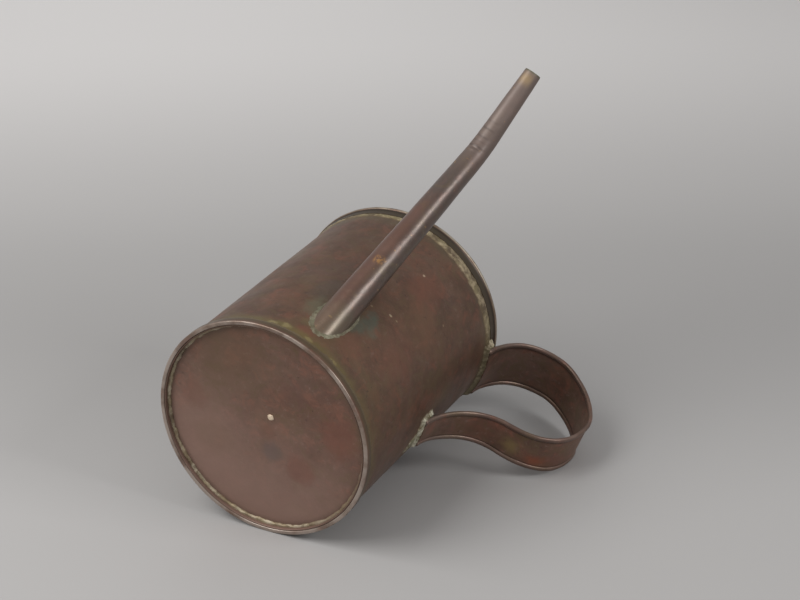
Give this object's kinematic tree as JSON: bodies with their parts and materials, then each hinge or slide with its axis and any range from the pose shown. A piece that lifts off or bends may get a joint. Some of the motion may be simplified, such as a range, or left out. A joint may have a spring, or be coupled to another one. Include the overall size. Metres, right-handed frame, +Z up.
{
  "type": "watering can",
  "caption": "Open-topped cylindrical sheet-metal watering can: long tapered spout from low on the wall, bent near its tip, and a broad strap handle a quarter turn round, looping above the rim.",
  "frame": {"origin": "under the centre of the bounding box, at the height of the foot's lower edge", "axes": "+Z up along the can's axis, +X the way the handle stands out, the spout points to about -Y"},
  "size_m": [0.226, 0.264, 0.2178],
  "materials": {
    "body_wall": "dull brown patina",
    "wall_seam_solder": "matt, greenish",
    "base_plate": "dull red-brown patina",
    "foot_ring": "dull red-brown patina, worn edge",
    "base_solder": "matt, pale",
    "base_centre_solder": "matt, pale",
    "foot_solder": "matt, greenish",
    "rim_collar": "dull brown patina, worn edge",
    "rim_wire": "plain wire",
    "rim_solder": "matt, greenish",
    "spout_tube": "brown patina with a soft sheen",
    "spout_foot_solder": "matt, greenish",
    "spout_seam_solder": "matt, greenish",
    "handle_strap": "dull red-brown patina",
    "handle_bead_left": "worn brown patina",
    "handle_bead_right": "worn brown patina",
    "handle_upper_solder": "matt, pale",
    "handle_lower_solder": "matt, pale"
  },
  "bodies": {
    "root": {"body_wall": "body_wall", "wall_seam_solder": "wall_seam_solder", "base_plate": "base_plate", "foot_ring": "foot_ring", "base_solder": "base_solder", "base_centre_solder": "base_centre_solder", "foot_solder": "foot_solder", "rim_collar": "rim_collar", "rim_wire": "rim_wire", "rim_solder": "rim_solder", "spout_tube": "spout_tube", "spout_foot_solder": "spout_foot_solder", "spout_seam_solder": "spout_seam_solder", "handle_strap": "handle_strap", "handle_bead_left": "handle_bead_left", "handle_bead_right": "handle_bead_right", "handle_upper_solder": "handle_upper_solder", "handle_lower_solder": "handle_lower_solder"}
  },
  "joints": []
}
